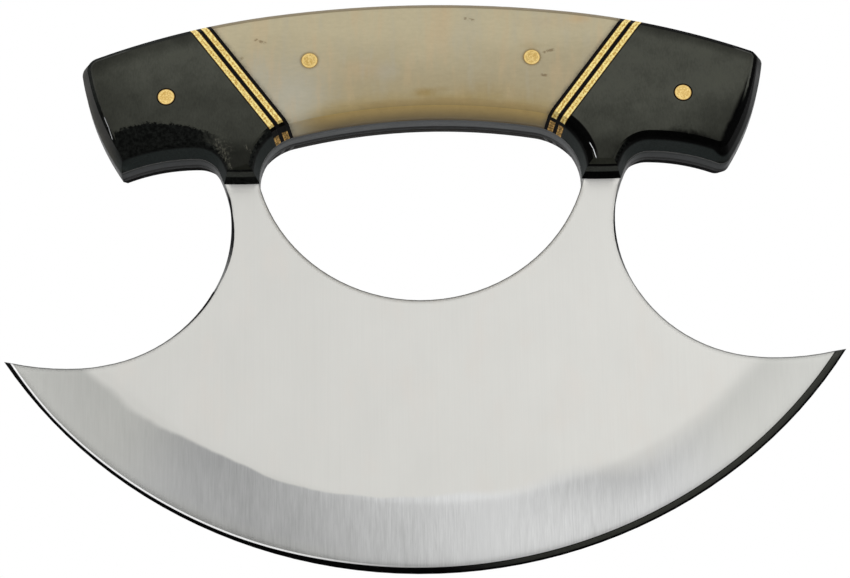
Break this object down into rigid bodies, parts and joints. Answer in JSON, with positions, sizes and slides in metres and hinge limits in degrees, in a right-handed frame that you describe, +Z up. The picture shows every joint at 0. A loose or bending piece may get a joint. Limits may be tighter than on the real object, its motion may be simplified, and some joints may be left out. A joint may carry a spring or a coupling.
{
  "type": "ulu knife",
  "caption": "Crescent-bladed ulu chopping knife with a full-tang two-post handle of dark horn and pale bone scales, brass spacers and pins.",
  "frame": {"origin": "under the middle of the cutting edge's chord, halfway through the plate's thickness, at the height of the lowest point of the cutting edge", "axes": "+X along the chord of the cutting edge, towards the tip on the viewer's right; +Y through the thickness, from the front scales to the back ones; +Z up from the cutting edge to the handle's crown"},
  "size_m": [0.1896, 0.017, 0.1362],
  "materials": {
    "blade_steel": "satin, brushed across the blade, with a finer ground bevel",
    "black_horn": "polished dark buffalo horn with faint scratches",
    "polished_bone": "polished bone, cream and grey with ochre clouds",
    "spacer_brass": "sanded flush",
    "black_fibre": "vulcanised fibre, sanded flush",
    "pin_brass": "rod end, sanded flush"
  },
  "bodies": {
    "root": {"blade": "blade_steel", "front_left_horn_scale": "black_horn", "front_left_outer_brass_spacer": "spacer_brass", "front_left_middle_black_spacer": "black_fibre", "front_left_inner_brass_spacer": "spacer_brass", "front_left_inner_black_spacer": "black_fibre", "front_right_horn_scale": "black_horn", "front_right_outer_brass_spacer": "spacer_brass", "front_right_middle_black_spacer": "black_fibre", "front_right_inner_brass_spacer": "spacer_brass", "front_right_inner_black_spacer": "black_fibre", "front_bone_scale": "polished_bone", "back_left_horn_scale": "black_horn", "back_left_outer_brass_spacer": "spacer_brass", "back_left_middle_black_spacer": "black_fibre", "back_left_inner_brass_spacer": "spacer_brass", "back_left_inner_black_spacer": "black_fibre", "back_right_horn_scale": "black_horn", "back_right_outer_brass_spacer": "spacer_brass", "back_right_middle_black_spacer": "black_fibre", "back_right_inner_brass_spacer": "spacer_brass", "back_right_inner_black_spacer": "black_fibre", "back_bone_scale": "polished_bone", "left_end_pin": "pin_brass", "left_middle_pin": "pin_brass", "right_middle_pin": "pin_brass", "right_end_pin": "pin_brass"}
  },
  "joints": []
}
